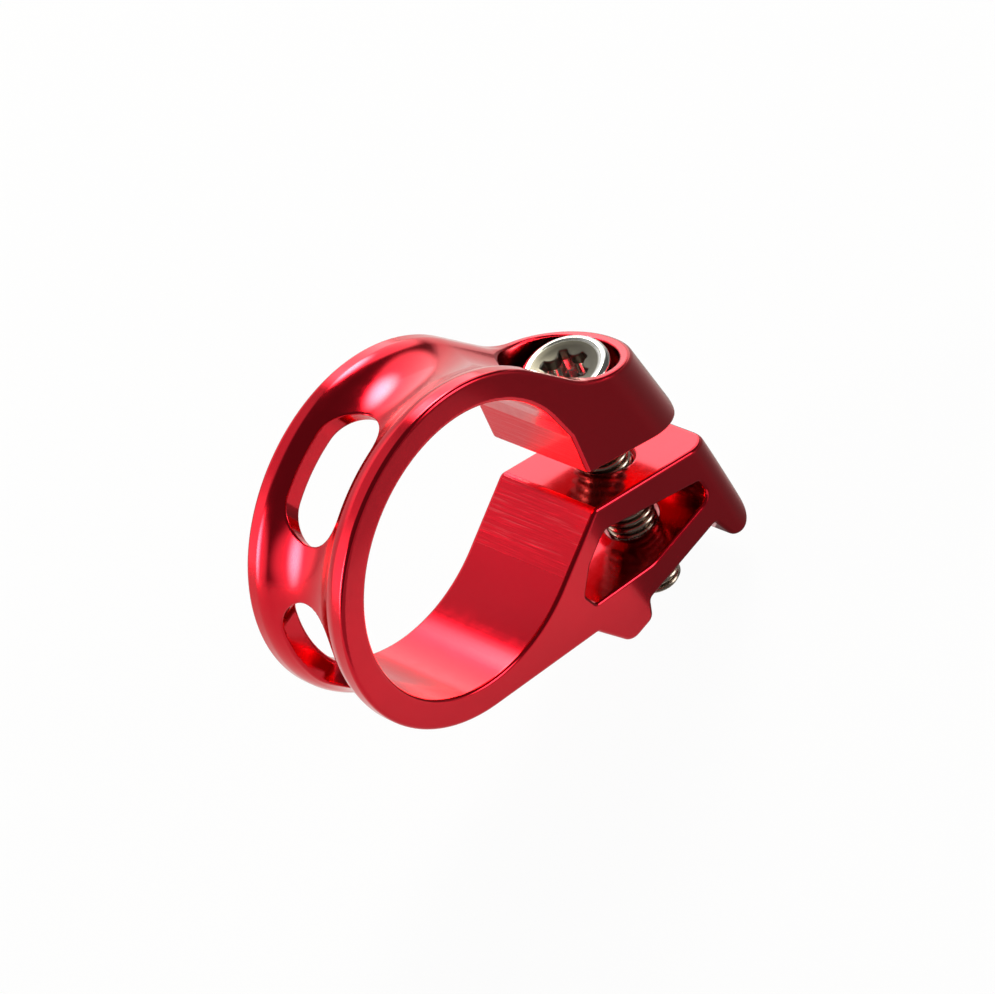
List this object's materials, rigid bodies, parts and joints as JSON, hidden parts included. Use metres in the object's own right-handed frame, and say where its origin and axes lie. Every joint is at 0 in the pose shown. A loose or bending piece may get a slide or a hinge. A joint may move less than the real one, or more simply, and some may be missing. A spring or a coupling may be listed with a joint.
{
  "type": "shifter clamp",
  "caption": "Hinge-less handlebar clamp with a slotted band, a slanted ear and a hollow foot that seats a trigger shifter, closed by a socket head screw.",
  "frame": {"origin": "centre of the bar bore, in the middle of the clamp's width", "axes": "+Y along the handlebar, +Z along the screw towards its head, +X from the bar to the screw"},
  "size_m": [0.0376, 0.0096, 0.0365],
  "materials": {
    "anodised_aluminium": "glossy red anodised",
    "screw_steel": "bright"
  },
  "bodies": {
    "clamp": {"clamp_body": "anodised_aluminium"},
    "bolt": {"clamp_bolt": "screw_steel"}
  },
  "joints": [
    {"name": "bolt_turn", "type": "hinge", "parent": "clamp", "child": "bolt", "pos_m": [0.0165, 0, -0.0031], "axis": [0, 0, 1], "continuous": true}
  ]
}
